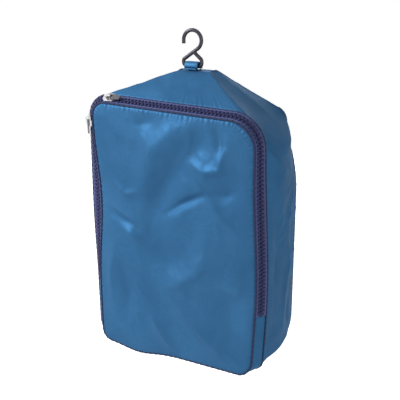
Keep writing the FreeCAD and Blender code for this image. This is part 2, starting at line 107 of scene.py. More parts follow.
def two_tone(tree, source, dark, light, start=0.0, end=1.0):
    """A colour that runs from dark to light as the source rises from start to end."""
    ramp = add_node(tree, "ShaderNodeValToRGB", {"Fac": source})
    for stop, position, colour in zip(ramp.color_ramp.elements, (start, end), (dark, light)):
        stop.position, stop.color = position, (*colour, 1)
    return ramp.outputs["Color"]


def seen_directly(tree):
    """One where a ray comes from the camera, a mirror or glass, and zero where it only lights."""
    path = add_node(tree, "ShaderNodeLightPath")
    seen = path.outputs["Is Camera Ray"]
    for ray in ("Is Glossy Ray", "Is Transmission Ray"):
        seen = add_node(tree, "ShaderNodeMath", {0: seen, 1: path.outputs[ray]},
                        operation="MAXIMUM").outputs[0]
    return seen


def floor_material():
    """Matt pale board with a faint grain."""
    material, tree, shader = new_material("pale_floor")
    grain = add_node(tree, "ShaderNodeTexNoise", {"Scale": 6.0, "Detail": 4.0})
    tone = two_tone(tree, grain.outputs["Fac"], (0.86, 0.86, 0.86), (0.92, 0.92, 0.92))
    tree.links.new(tone, shader.inputs["Base Color"])
    shader.inputs["Roughness"].default_value = 0.9
    lifted = add_node(tree, "ShaderNodeMath", {0: seen_directly(tree), 1: 0.8}, operation="MULTIPLY")
    tree.links.new(lifted.outputs[0], shader.inputs["Emission Strength"])
    shader.inputs["Emission Color"].default_value = (1, 1, 1, 1)
    return material


floor_drop, floor_reach = 0.17, 9.0
floor_z = bottom_z * MM - floor_drop
floor_mesh = bpy.data.meshes.new("floor")
floor_corners = ((-1, -1), (1, -1), (1, 1), (-1, 1))
floor_mesh.from_pydata([(x * floor_reach, y * floor_reach, floor_z) for x, y in floor_corners],
                       [], [(0, 1, 2, 3)])
floor_mesh.materials.append(floor_material())
floor = bpy.data.objects.new("floor", floor_mesh)
bpy.context.scene.collection.objects.link(floor)

world = bpy.data.worlds.new("studio")
world.use_nodes = True
bpy.context.scene.world = world
ambient = add_node(world.node_tree, "ShaderNodeMapRange",
                   {"Value": seen_directly(world.node_tree), "To Min": 0.17, "To Max": 1.0})
world.node_tree.links.new(ambient.outputs["Result"], world.node_tree.nodes["Background"].inputs["Strength"])
world.node_tree.nodes["Background"].inputs["Color"].default_value = (1, 1, 1, 1)


def soft_lamp(name, place, size, power):
    """A square lamp that faces the middle of the bag."""
    data = bpy.data.lights.new(name, "AREA")
    data.size, data.energy = size, power
    lamp = bpy.data.objects.new(name, data)
    lamp.location = place
    middle = Vector((0, 0, (top_z + bottom_z) / 2 * MM))
    lamp.rotation_euler = (middle - lamp.location).to_track_quat("-Z", "Y").to_euler()
    bpy.context.scene.collection.objects.link(lamp)


soft_lamp("key_lamp", (-0.72, -0.62, 0.45), 0.28, 11.2)
soft_lamp("fill_lamp", (1.35, -1.0, 0.3), 0.9, 6.0)
soft_lamp("back_lamp", (-0.5, 1.4, -0.05), 0.9, 9)


# ---- Hook
# One bent steel wire: an open crook, a leaning neck and a closed base whose bar holds the loop.
# It is plated near-black, with a gloss that has worn a little in random patches.
def metal_material(name, scale, detail, dark, light, rough, spread, metallic, depth):
    """Plated metal whose shade, gloss and surface all wear together."""
    material, tree, shader = new_material(name)
    wear = add_node(tree, "ShaderNodeTexNoise", {"Vector": on_piece(tree), "Scale": scale, "Detail": detail})
    worn = wear.outputs["Fac"]
    gloss = add_node(tree, "ShaderNodeMapRange", {"Value": worn, "To Min": rough, "To Max": rough + spread})
    bump = add_node(tree, "ShaderNodeBump", {"Height": worn, "Strength": 0.1, "Distance": depth})
    tree.links.new(two_tone(tree, worn, dark, light), shader.inputs["Base Color"])
    tree.links.new(gloss.outputs["Result"], shader.inputs["Roughness"])
    tree.links.new(bump.outputs["Normal"], shader.inputs["Normal"])
    shader.inputs["Metallic"].default_value = metallic
    return material


def finish_node(name, material):
    """Give a CAD node its finish; its shape and place stay."""
    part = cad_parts[name]
    part.data.materials.clear()
    part.data.materials.append(material)


black_wire = metal_material("black_wire", 420.0, 5.0, (0.016, 0.016, 0.019), (0.10, 0.10, 0.115),
                            0.2, 0.22, 0.85, 0.0003)
finish_node("hook", black_wire)

# ---- Front panel
# One cut of blue nylon taffeta, turned in at its edge and sewn to the zip tape all round.
# The bag's filling draws it out, and its weight pulls it into long soft folds.
front_corners = (14, 28, 18)     # lower corners, upper right, upper left
strip_step = 5.5                 # from the panel's seam out and back to the middle of the zip
strip_half = 7.8
seam_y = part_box("top_panel")[0].y / MM
strip_y = (front_y + seam_y) / 2
runs = (("bottom", 116), ("lower_right", 20), ("right", 176), ("upper_right", 36),
        ("top", 104), ("upper_left", 28), ("left", 176), ("lower_left", 20))
fold_z = (panel_low.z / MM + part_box("front_panel_lower")[1].z / MM) / 2
zip_end_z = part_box("zip_tape_outer")[0].z / MM


def bell(place, centre, width):
    return math.exp(-((place - centre) / width) ** 2)


def ease(share):
    share = min(max(share, 0.0), 1.0)
    return share * share * (3 - 2 * share)


def outline(half, top, bottom, corners):
    """Stations round a rounded rectangle: run, share of the run, x, z and the outward direction."""
    low, upper_right, upper_left = corners
    straight = {"bottom": ((low - half, bottom), (half - low, bottom), (0, -1)),
                "right": ((half, bottom + low), (half, top - upper_right), (1, 0)),
                "top": ((half - upper_right, top), (upper_left - half, top), (0, 1)),
                "left": ((-half, top - upper_left), (-half, bottom + low), (-1, 0))}
    round_corner = {"lower_right": (half - low, bottom + low, low, -90),
                    "upper_right": (half - upper_right, top - upper_right, upper_right, 0),
                    "upper_left": (upper_left - half, top - upper_left, upper_left, 90),
                    "lower_left": (low - half, bottom + low, low, 180)}
    found = []
    for run, count in runs:
        for i in range(count):
            share = i / count
            if run in straight:
                a, b, outward = straight[run]
                place = (a[0] + (b[0] - a[0]) * share, a[1] + (b[1] - a[1]) * share)
            else:
                x, z, radius, start = round_corner[run]
                angle = math.radians(start + 90 * share)
                outward = (math.cos(angle), math.sin(angle))
                place = (x + radius * outward[0], z + radius * outward[1])
            found.append((run, share, place[0], place[1], outward[0], outward[1]))
    return found


def strip_frame(station):
    """The middle of the strip that holds the zip, its direction across and its outward normal.

    The legs turn to the front at mid height, the right one bows out, the top droops to the
    right, and the bottom edge sags between the feet of the folds."""
    run, share, x, z, out_x, out_z = station
    height = z - bottom_z
    side, end = out_x ** 2, out_z ** 2
    if out_x < 0:
        lean, sway = 45 - 32 * bell(height, 180, 62), 3.0 * bell(height, 185, 60)
    else:
        lean, sway = 52, 5.8 * bell(height, 105, 95)
    lean += 10 * ease((height - 215) / 50) * (out_x > 0)
    angle = math.radians(side * lean + end * (60 if out_z > 0 else 98))
    drop = -6.0 * (x + half_width) / (2 * half_width) * ease((height - 170) / 120)
    sag = -6.5 * bell(x, -48, 30) * bell(height, 0, 30)
    outward = Vector((out_x, 0, out_z))
    step = strip_step - (2.5 * end if out_z < 0 else 0)
    middle = Vector((x + side * sway, strip_y, z + drop + sag)) + outward * step
    backward = Vector((0, 1, 0))
    return (middle, outward * math.cos(angle) + backward * math.sin(angle),
            outward * math.sin(angle) - backward * math.cos(angle))


def strip_point(station, across, above):
    middle, sideways, normal = strip_frame(station)
    return middle + sideways * across + normal * above


def add_piece(name, points, faces, material, body, replaced=(), thickness=0.0):
    """A cloth or moulded piece from points in millimetres; cloth gets its thickness inward."""
    mesh = bpy.data.meshes.new(name)
    mesh.from_pydata([Vector(p) * MM for p in points], [], faces)
    mesh.validate()
    mesh.materials.append(material)
    mesh.polygons.foreach_set("use_smooth", [True] * len(mesh.polygons))
    piece = bpy.data.objects.new(name, mesh)
    bpy.context.scene.collection.objects.link(piece)
    if thickness:
        solid = piece.modifiers.new("thickness", "SOLIDIFY")
        solid.thickness, solid.offset = thickness * MM, -1.0
        apply_modifiers(piece)
    if body:
        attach(piece, body)
    if replaced:
        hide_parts(*replaced)
    return piece


def apply_modifiers(piece):
    """Put what the modifiers make into the piece's own mesh."""
    made = bpy.data.meshes.new_from_object(piece.evaluated_get(bpy.context.evaluated_depsgraph_get()))
    piece.modifiers.clear()
    made.name, piece.data = piece.data.name, made


def nylon_material(name, deep, bright):
    """Taffeta: a fine square weave with a soft sheen, faint crinkles and uneven dye."""
    material, tree, shader = new_material(name)
    where = on_piece(tree)
    dye = add_node(tree, "ShaderNodeTexNoise", {"Vector": where, "Scale": 16.0, "Detail": 6.0})
    colour = two_tone(tree, dye.outputs["Fac"], deep, bright, 0.3, 0.72)
    threads_per_metre = 2000.0
    weave_scale = threads_per_metre * math.pi / 10
    thread = []
    for axis in ("X", "Y", "Z"):
        wave = add_node(tree, "ShaderNodeTexWave", {"Vector": where, "Scale": weave_scale,
                                                    "Distortion": 0.5, "Detail": 1.0}, bands_direction=axis)
        thread.append(wave.outputs["Fac"])
    pair = add_node(tree, "ShaderNodeMath", {0: thread[0], 1: thread[1]}, operation="MAXIMUM")
    weave = add_node(tree, "ShaderNodeMath", {0: pair.outputs[0], 1: thread[2]}, operation="ADD")
    shade = add_node(tree, "ShaderNodeMapRange",
                     {"Value": weave.outputs[0], "From Max": 2.0, "To Min": 0.86, "To Max": 1.1})
    dyed = add_node(tree, "ShaderNodeVectorMath", {0: colour, 1: shade.outputs["Result"]},
                    operation="MULTIPLY")
    crinkle = add_node(tree, "ShaderNodeTexNoise",
                       {"Vector": where, "Scale": 70.0, "Detail": 5.0, "Roughness": 0.6})
    soft = add_node(tree, "ShaderNodeBump",
                    {"Height": crinkle.outputs["Fac"], "Strength": 0.3, "Distance": 0.0016})
    fine = add_node(tree, "ShaderNodeBump", {"Height": weave.outputs[0], "Strength": 0.3,
                                             "Distance": 0.00008, "Normal": soft.outputs["Normal"]})
    gloss = add_node(tree, "ShaderNodeMapRange",
                     {"Value": crinkle.outputs["Fac"], "To Min": 0.4, "To Max": 0.56})
    tree.links.new(dyed.outputs["Vector"], shader.inputs["Base Color"])
    tree.links.new(gloss.outputs["Result"], shader.inputs["Roughness"])
    tree.links.new(fine.outputs["Normal"], shader.inputs["Normal"])
    shader.inputs["Specular IOR Level"].default_value = 0.0
    shader.inputs["Metallic"].default_value = 0.3
    shader.inputs["Sheen Weight"].default_value = 0.03
    shader.inputs["Sheen Roughness"].default_value = 0.45
    shader.inputs["Sheen Tint"].default_value = (0.35, 0.65, 1.0, 1)
    return material


blue_nylon = nylon_material("blue_nylon", (0.036, 0.130, 0.278), (0.048, 0.165, 0.338))
stations = outline(half_width, top_z, bottom_z, front_corners)

# Height, width, sharpness and line (x, height above the bottom seam) of each fold.
front_folds = (
    (3.2, 13, 1.8, ((44, 299), (8, 280), (-14, 257), (-29, 229), (-38, 200))),
    (-6.5, 15, 1.9, ((48, 278), (24, 249), (-4, 213), (-21, 178), (-26, 148))),
    (5.5, 7, 1.1, ((70, 262), (66, 242), (49, 239), (27, 246))),
    (-3.6, 5, 1.6, ((55, 297), (63, 276), (66, 260))),
    (-5.5, 5.5, 1.3, ((-4, 180), (14, 194), (28, 202), (50, 212))),
    (2.6, 4, 1.0, ((24, 245), (47, 214), (69, 187), (84, 175))),
    (-3.6, 8, 1.5, ((52, 211), (71, 212), (88, 221))),
    (-4.0, 6, 1.4, ((-92, 177), (-67, 164), (-49, 159), (-38, 149))),
    (3.0, 6, 1.2, ((-60, 152), (-44, 146), (-38, 140))),
    (6.0, 12, 1.3, ((50, 162), (48, 139), (35, 116), (13, 98), (-6, 90))),
    (-4.5, 16, 2.0, ((-22, 140), (0, 125), (26, 130))),
    (5.0, 8, 1.1, ((-25, 48), (-9, 25), (8, 4))),
    (5.5, 8, 1.1, ((4, 76), (35, 47), (66, 22))),
    (-4.5, 17, 2.0, ((67, 104), (80, 68), (80, 34))),
    (1.6, 4, 1.2, ((76, 128), (97, 124))),
    (1.6, 4, 1.2, ((72, 102), (97, 97))),
    (3.2, 6, 1.2, ((-76, 209), (-56, 197), (-39, 202))),
    (3.0, 8, 1.3, ((-76, 128), (-85, 91), (-82, 52))),
    (-3.0, 8, 1.5, ((-40, 280), (-18, 292))),
    (-3.4, 9, 1.5, ((-70, 104), (-57, 70), (-64, 30))),
)


fold_strength = 1.25


def fold_height(x, height, folds):
    """How far the folds lift the cloth at a place."""
    total = 0.0
    for rise, width, sharpness, line in folds:
        best, at, reached = 1e9, 0.0, 0.0
        for a, b in zip(line, line[1:]):
            length = math.dist(a, b)
            share = ((x - a[0]) * (b[0] - a[0]) + (height - a[1]) * (b[1] - a[1])) / length ** 2
            share = min(max(share, 0.0), 1.0)
            away = math.hypot(x - a[0] - (b[0] - a[0]) * share, height - a[1] - (b[1] - a[1]) * share)
            if away < best:
                best, at = away, reached + share * length
            reached += length
        if best < 4 * width:
            fade = math.sin(math.pi * (0.07 + 0.86 * at / reached)) ** 0.7
            total += fold_strength * rise * fade * math.exp(-(best / width) ** sharpness)
    return total


def crumple(x, y, z, size, seed):
    """Smooth uneven height from -1 to 1, with swells of about the given size."""
    return noise.noise(Vector((x / size + seed, y / size + 3.7 * seed, z / size - 1.3 * seed)))


noise.seed_set(5)      # noise_vector's offsets come from the seed


def facets(x, y, z, size, seed):
    """Crisp ridges from 0 to 1 where the cloth creases between flatter facets."""
    place = Vector((x / size + seed, y / size + 1.9 * seed, z / size - 0.7 * seed))
    place += 0.35 * noise.noise_vector(place * 1.7)
    near = noise.voronoi(place)[0]
    return math.exp(-(near[1] - near[0]) / 0.11) * ease(0.5 + 1.6 * noise.noise(place * 0.6))


def inside(ring, x, z):
    """Whether a flat point lies within a closed ring."""
    ahead = np.roll(ring, -1, axis=0)
    crosses = (ring[:, 1] > z) != (ahead[:, 1] > z)
    rise = np.where(crosses, ahead[:, 1] - ring[:, 1], 1)
    at = ring[:, 0] + (z - ring[:, 1]) / rise * (ahead[:, 0] - ring[:, 0])
    return bool(np.count_nonzero(crosses & (at > x)) % 2)


def fill_outline(loops, spacing):
    """Triangles over the outermost loop, with every loop and an even grid as their corners."""
    points, edges = [], []
    for loop in loops:
        first = len(points)
        points += [Vector(p) for p in loop]
        edges += [(first + i, first + (i + 1) % len(loop)) for i in range(len(loop))]
    ring = np.array(loops[-1])
    low, high = ring.min(0), ring.max(0)
    for row, z in enumerate(np.arange(low[1] + spacing / 2, high[1], spacing * 0.866)):
        for x in np.arange(low[0] + spacing / 2 + (row % 2) * spacing / 2, high[0], spacing):
            if ((ring - (x, z)) ** 2).sum(1).min() > (spacing * 0.6) ** 2 and inside(ring, x, z):
                points.append(Vector((x, z)))
    made = geometry.delaunay_2d_cdt(points, edges, [list(range(len(loops[0])))], 1, 0.001)
    return made[0], made[2]


rim = [strip_point(s, -strip_half, 0) for s in stations]
rim_steps = (0, 0.5, 1.2, 2.2, 3.8)
flat_points, panel_faces = fill_outline(
    [[(p.x - s[4] * step, p.z - s[5] * step) for p, s in zip(rim, stations)] for step in rim_steps], 2.8)
rim_flat = np.array([(p.x, p.z) for p in rim])
crown, crown_reach = 5.4, 24.0
panel_points = []
for point in flat_points:
    away = np.hypot(*(rim_flat - (point[0], point[1])).T)
    nearest = int(away.argmin())
    gap, height = away[nearest], point[1] - bottom_z
    level = front_y + (rim[nearest].y - front_y) * math.exp(-gap / 26)
    swell = crown * (1 - math.exp(-gap / crown_reach)) + 1.0 * (1 - math.exp(-gap / 1.3))
    turned_in = 1.0 * math.exp(-gap / 0.5)
    wave = fold_height(point[0], height, front_folds) + 1.6 * crumple(point[0], 0, point[1], 60, 0.3)
    wave += 0.8 * crumple(point[0], 0, point[1], 24, 5.1) + 0.4 * crumple(point[0], 0, point[1], 10, 7.7)
    wave += 0.9 * facets(point[0], 0, point[1], 46, 2.6) + 0.5 * facets(point[0], 0, point[1], 20, 6.2)
    wave -= 0.5 * max(wave - 6.5, 0)
    pucker = math.sin(nearest * 1.9 + 2.0 * math.sin(nearest * 0.37)) * math.exp(-gap / 5)
    wave = wave * (1 - math.exp(-(gap / 13) ** 2)) + 1.1 * pucker * (1 - math.exp(-gap / 1.5))
    panel_points.append((point[0], level - swell + turned_in - wave, point[1]))
cloth = 0.7
front_cloth = add_piece("front_panel_cloth", panel_points, panel_faces, blue_nylon, None,
                        ("front_panel", "front_panel_lower"), cloth)
fold_reach = 12


def bend_at_fold(piece):
    """Bakes the piece's placement into its mesh; it is not split at the fold or given to the bag or the
    flap.
    """
    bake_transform(piece)


bend_at_fold(front_cloth)

# ---- Zip tapes
# Two woven tapes, lilac-grey, sewn in between the panel and the gusset. Each is folded under
# at its seam and ends at a corded edge beside the teeth.
tape_thick = 0.8
zip_stations = [s for s in stations if (s[0] not in ("bottom", "lower_left", "lower_right"))
                and s[3] >= zip_end_z]
lower_stations = [s for s in stations if s not in zip_stations]
left_foot = [s for s in lower_stations if s[0] in ("left", "lower_left")]
lower_stations = left_foot + [s for s in lower_stations if s not in left_foot]


def tape_material():
    """Woven tape: fine ribs along it, crossed by a twill, a little uneven in shade."""
    material, tree, shader = new_material("lilac_tape")
    where = on_piece(tree)
    rib = add_node(tree, "ShaderNodeTexWave", {"Vector": where, "Scale": 360.0, "Distortion": 0.8,
                                               "Detail": 1.0}, bands_direction="DIAGONAL")
    tone = add_node(tree, "ShaderNodeTexNoise", {"Vector": where, "Scale": 120.0, "Detail": 4.0})
    both = add_node(tree, "ShaderNodeMath", {0: rib.outputs["Fac"], 1: tone.outputs["Fac"]}, operation="ADD")
    colour = two_tone(tree, both.outputs[0], (0.042, 0.056, 0.175), (0.085, 0.108, 0.290), 0.3)
    bump = add_node(tree, "ShaderNodeBump", {"Height": both.outputs[0], "Strength": 0.5, "Distance": 0.0002})
    tree.links.new(colour, shader.inputs["Base Color"])
    tree.links.new(bump.outputs["Normal"], shader.inputs["Normal"])
    shader.inputs["Roughness"].default_value = 0.7
    shader.inputs["Sheen Weight"].default_value = 0.15
    return material


def ribbon(name, along, across_points, material, body, replaced=(), thickness=0.0, flip=False):
    """Cloth that follows stations, through points given across the strip and out of it."""
    width = len(across_points(0)) if callable(across_points) else len(across_points)
    points, faces = [], []
    for i, station in enumerate(along):
        profile = across_points(i) if callable(across_points) else across_points
        points += [strip_point(station, a, w) for a, w in profile]
    for i in range(len(along) - 1):
        for j in range(width - 1):
            quad = (i * width + j, (i + 1) * width + j, (i + 1) * width + j + 1, i * width + j + 1)
            faces.append(quad if not flip else quad[::-1])
    return add_piece(name, points, faces, material, body, replaced, thickness)


lilac_tape = tape_material()
tape_profile = ((1.55, 0.1), (1.6, 0.62), (2.1, 0.75), (2.6, 0.45), (3.2, 0.4), (4.6, 0.4), (6.2, 0.42),
                (7.1, 0.35), (7.6, 0.0), (7.75, -0.6))
outer_tape = ribbon("zip_tape_outer_cloth", zip_stations, tape_profile, lilac_tape, "bag",
                    ("zip_tape_outer",), tape_thick, flip=True)
inner_tape = ribbon("zip_tape_inner_cloth", zip_stations, [(-a, w) for a, w in tape_profile], lilac_tape,
                    None, ("zip_tape_inner", "zip_tape_inner_foot"), tape_thick)
bend_at_fold(inner_tape)

# ---- Zip teeth
# Moulded teeth of dark violet plastic, gripped on the corded edge of each tape. The two rows
# mesh all the way round and stand apart only between the two sliders.
tooth_pitch, parted, tooth_margin = 4.6, 1.2, 5
tooth_outline = ((-4.0, -1.35), (-4.0, 1.35), (-2.3, 1.45), (-0.6, 0.75), (-0.2, 1.0), (0.55, 1.05),
                 (1.0, 0.6), (1.0, -0.6), (0.55, -1.05), (-0.2, -1.0), (-0.6, -0.75), (-2.3, -1.45))
tooth_layers = ((-1.5, 0.86), (-1.1, 1.0), (1.45, 1.0), (1.9, 0.82))


def plastic_material():
    """Glossy moulded plastic with fine mould grain."""
    material, tree, shader = new_material("violet_plastic")
    grain = add_node(tree, "ShaderNodeTexNoise",
                     {"Vector": on_piece(tree), "Scale": 900.0, "Detail": 3.0}).outputs["Fac"]
    bump = add_node(tree, "ShaderNodeBump", {"Height": grain, "Strength": 0.2, "Distance": 0.0001})
    tree.links.new(two_tone(tree, grain, (0.016, 0.020, 0.078), (0.040, 0.045, 0.150)),
                   shader.inputs["Base Color"])
    tree.links.new(bump.outputs["Normal"], shader.inputs["Normal"])
    shader.inputs["Roughness"].default_value = 0.5
    shader.inputs["Specular IOR Level"].default_value = 0.25
    return material


frames = [strip_frame(s) for s in zip_stations]
reached = np.concatenate(([0.0], np.cumsum([(b[0] - a[0]).length for a, b in zip(frames, frames[1:])])))


def frame_at(distance):
    """Middle, across, normal and forward direction at a distance along the zip."""
    i = min(max(int(np.searchsorted(reached, distance)) - 1, 0), len(frames) - 2)
    share = (distance - reached[i]) / (reached[i + 1] - reached[i])
    middle, across, normal = (a.lerp(b, share) for a, b in zip(frames[i], frames[i + 1]))
    forward = (frames[i + 1][0] - frames[i][0]).normalized()
    normal = (normal - forward * normal.dot(forward)).normalized()
    square = forward.cross(normal)
    return middle, square * (1 if square.dot(across) > 0 else -1), normal, forward


def distance_of(place):
    """How far along the zip a point in millimetres lies."""
    return reached[min(range(len(frames)), key=lambda i: (frames[i][0] - place).length)]


def node_middle(node):
    low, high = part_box(node)
    return (low + high) / 2 / MM


gap_start = distance_of(node_middle("slider_right_body")) + 2
gap_end = distance_of(node_middle("slider_left_body")) - 2


def tooth_row(name, side, body, replaced):
    """One row: side is 1 for the outer tape and -1 for the inner one."""
    points, faces = [], []
    count = int((reached[-1] - 2 * tooth_margin) / tooth_pitch)
    width = len(tooth_outline)
    for i in range(count):
        at = tooth_margin + (i + (0.5 if side > 0 else 0.0)) * tooth_pitch
        middle, across, normal, forward = frame_at(at)
        apart = parted * ease((at - gap_start) / 6) * ease((gap_end - at) / 6)
        first = len(points)
        for above, size in tooth_layers:
            for a, t in tooth_outline:
                a = -1.5 + (a + 1.5) * size
                points.append(middle - across * side * (a - apart) + normal * above + forward * t * size)
        for layer in range(len(tooth_layers) - 1):
            for j in range(width):
                k = (j + 1) % width
                quad = [first + layer * width + j, first + layer * width + k,
                        first + (layer + 1) * width + k, first + (layer + 1) * width + j]
                faces.append(quad if side > 0 else quad[::-1])
        caps = [list(range(first, first + width))[::-1],
                list(range(first + 3 * width, first + 4 * width))]
        faces += caps if side > 0 else [c[::-1] for c in caps]
    return add_piece(name, points, faces, violet_plastic, body, replaced)


violet_plastic = plastic_material()
tooth_row("zip_teeth_outer_row", 1, "bag", ("zip_teeth_outer",))
bend_at_fold(tooth_row("zip_teeth_inner_row", -1, None, ("zip_teeth_inner", "zip_teeth_inner_foot")))

# ---- Sliders and end stops
# Two cast sliders with a bright worn plating, parked at the upper left corner, each with a
# crimped bridge and a dark pull. A moulded stop closes each end of the zip.

bright_metal = metal_material("bright_plating", 600.0, 6.0, (0.45, 0.45, 0.46), (0.8, 0.8, 0.8),
                              0.18, 0.2, 1.0, 0.0002)
dark_metal = metal_material("dark_plating", 600.0, 6.0, (0.05, 0.05, 0.06), (0.2, 0.2, 0.22),
                            0.22, 0.2, 1.0, 0.0002)
for node, finish in (("body", bright_metal), ("bail", bright_metal), ("pull", dark_metal)):
    for side in ("left", "right"):
        finish_node(f"slider_{side}_{node}", finish)

stop_margin, stop_sides = 2.6, 16
stop_layers = ((-1.5, 0.8), (-1.1, 1.0), (1.3, 1.0), (1.7, 0.8))
stop_points, stop_faces = [], []
for at in (stop_margin, reached[-1] - stop_margin):
    middle, across, normal, forward = frame_at(at)
    first = len(stop_points)
    for above, size in stop_layers:
        for turn in range(stop_sides):
            angle = 2 * math.pi * turn / stop_sides
            a = 3.6 * size * max(-1, min(1, 1.25 * math.cos(angle)))
            t = 1.3 * size * max(-1, min(1, 1.25 * math.sin(angle)))
            stop_points.append(middle + across * a + forward * t + normal * above)
    for layer in range(len(stop_layers) - 1):
        low, high = first + layer * stop_sides, first + (layer + 1) * stop_sides
        for j in range(stop_sides):
            k = (j + 1) % stop_sides
            stop_faces.append((low + j, low + k, high + k, high + j))
    stop_faces += [tuple(range(first, first + stop_sides))[::-1], tuple(range(high, high + stop_sides))]
add_piece("zip_end_stops_moulded", stop_points, stop_faces, violet_plastic, "bag",
          ("zip_end_stops",))

# ---- Strip below the zip
# The nylon strip that goes on from the zip's ends round the foot of the panel. It is sewn to
# the panel on one side and to the gusset on the other, and puffs out a little between them.
strip_run = [zip_stations[-1]] + lower_stations + [zip_stations[0]]


def strip_puff(i):
    rise = 1.4 * math.sin(math.pi * i / (len(strip_run) - 1)) ** 0.3
    found = []
    for j in range(11):
        share = j / 10
        a = -strip_half + 2 * strip_half * share
        wrinkle = 0.35 * crumple(i * 2.0, a, 0, 9, 2.2) * math.sin(math.pi * share)
        found.append((a, -0.9 + (0.9 + rise) * math.sin(math.pi * share) ** 0.5 + wrinkle))
    return found


lower_strip = ribbon("lower_front_strip", strip_run, strip_puff, blue_nylon, "bag",
                     ("lower_front_gusset",), cloth, flip=True)

# ---- Top and sides
# One long gusset of nylon runs up one side, over the top and down the other. The hook draws
# its middle up into a small flat peak, from which creases run to the corners of the zip.
back_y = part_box("back_panel")[0].y / MM
outer_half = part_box("back_panel")[1].x / MM
peak_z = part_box("top_panel")[1].z / MM
seam_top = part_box("back_panel")[1].z / MM
peak_left, peak_right, peak_half = -13, 25, 9
side_crown = 7.0
right_crest_z, left_crest_z = -118, -120
right_shoulder, left_shoulder = Vector((106, 0, -90)), Vector((-97, 0, -85))
shoulder_share = 0.55            # part of each upper corner that climbs to the peak
gusset_depth, depth_steps = 93, 38
back_stations = outline(outer_half, seam_top, bottom_z + 5, (24, 14, 24))


def back_point(station):
    """The gusset's seam with the back: the shoulders fall away and draw in below the peak."""
    run, share, x, z, out_x, out_z = station
    drawn_in = ease((z + 185) / 105)
    fall = ease((z + 150) / 60) * abs(x) / 95
    if x > 0:
        return Vector((x * (1 - 0.13 * drawn_in), back_y, z - 17 * fall))
    return Vector((x * (1 - 0.10 * drawn_in), back_y, z - 16 * fall))


def bezier(a, b, c, share):
    return a * (1 - share) ** 2 + b * 2 * share * (1 - share) + c * share ** 2


def crest_point(station, low_z):
    """The highest line over the top, half way back, and how much of a crest it is there."""
    run, share, x, z, out_x, out_z = station
    if run == "top":
        return Vector((peak_right + (peak_left - peak_right) * share, 0, peak_z)), 1.0
    if run == "upper_right":
        to_peak = min(share / shoulder_share, 1)
        return bezier(Vector((outer_half + side_crown, 0, right_crest_z)), right_shoulder,
                      Vector((peak_right, 0, peak_z)), to_peak), ease(to_peak * 1.6)
    if run == "upper_left":
        from_peak = max((share - (1 - shoulder_share)) / shoulder_share, 0)
        foot = Vector((-outer_half - side_crown, 0, left_crest_z))
        return bezier(Vector((peak_left, 0, peak_z)), left_shoulder, foot,
                      from_peak), ease((1 - from_peak) * 1.6)
    if run == "right":
        return Vector((outer_half + side_crown, 0, low_z + (right_crest_z - low_z) * share)), 0.0
    if run == "left":
        height = low_z + (left_crest_z - low_z) * (1 - share)
        return Vector((-outer_half - side_crown, 0, height)), 0.0
    return None, 0.0


# Folds of the right side: height, width, sharpness and line (depth from the front seam, z).
side_folds = (
    (2.6, 6, 1.3, ((70, -168), (50, -192), (46, -225), (58, -262), (46, -300), (40, -345))),
    (-2.2, 7, 1.4, ((14, -180), (22, -230), (18, -280))),
    (1.8, 6, 1.3, ((84, -200), (74, -240), (80, -290))),
    (-1.8, 6, 1.4, ((66, -300), (60, -335), (72, -362))),
)
crease = ((-2, -106), (15, -121), (34, -136), (56, -148), (84, -160))


def crease_step(depth, z):
    """The crisp fold from the zip's corner back along the side: cloth below it stands out."""
    for a, b in zip(crease, crease[1:]):
        if depth <= b[0] or b is crease[-1]:
            line = a[1] + (b[1] - a[1]) * (depth - a[0]) / (b[0] - a[0])
            below = (line - z) * 0.8
            if below < 0:
                return 0.9 * math.exp(below / 5)
            standing = 5.5 - 4.0 * ease((depth - 22) / 30)
            return (0.9 + standing * (1 - math.exp(-below / 2.0))) * math.exp(-below / 40)
    return 0.0


start = next(i for i, s in enumerate(stations) if s[0] == "lower_right") + 10
end = next(i for i, s in enumerate(stations) if s[0] == "lower_left") + 10
over_top = list(range(start, end + 1))
under = list(range(end, len(stations))) + list(range(0, start + 1))


def gusset_row(i):
    """Points from the zip's outer seam back to the back's seam at one station."""
    station, back_station = stations[i], back_stations[i]
    a = strip_point(station, strip_half - 0.2, -0.5)
    b = back_point(back_station)
    crest, crested = crest_point(station, bottom_z + 14)
    outward = Vector((station[4], 0, station[5]))
    found = []
    front_edge = (-peak_half - seam_y) / (back_y - seam_y)
    back_edge = (peak_half - seam_y) / (back_y - seam_y)
    for j in range(depth_steps + 1):
        share = j / depth_steps
        flat = a.lerp(b, share)
        if crest is None:
            lift = 3.0 if station[5] > -0.7 else 2.0
            point = flat + outward * lift * math.sin(math.pi * share)
        else:
            if share < front_edge:
                ridge = a.lerp(Vector((crest.x, -peak_half, crest.z)), share / front_edge)
            elif share > back_edge:
                ridge = Vector((crest.x, peak_half, crest.z)).lerp(b, (share - back_edge) / (1 - back_edge))
            else:
                ridge = Vector((crest.x, flat.y, crest.z))
            middle = a.lerp(b, 0.5)
            bow = flat + (Vector((crest.x, 0, crest.z)) - Vector((middle.x, 0, middle.z))) * \
                math.sin(math.pi * share) ** 0.8
            point = bow.lerp(ridge, crested)
        found.append(point)
    return found


grid = [gusset_row(i) for i in range(len(stations))]


def soften(grid, passes):
    """Ease the creases a little, with the seams held; the rows close into a ring."""
    for _ in range(passes):
        count = len(grid)
        new = [list(row) for row in grid]
        for i in range(count):
            before, after = grid[i - 1], grid[(i + 1) % count]
            for j in range(1, len(grid[i]) - 1):
                around = (before[j] + after[j] + grid[i][j - 1] + grid[i][j + 1]) / 4
                new[i][j] = grid[i][j].lerp(around, 0.5)
        grid = new
    return grid


grid = soften(grid, 3)


side_from, side_top = 60, -95    # where the gusset is side rather than top or bottom


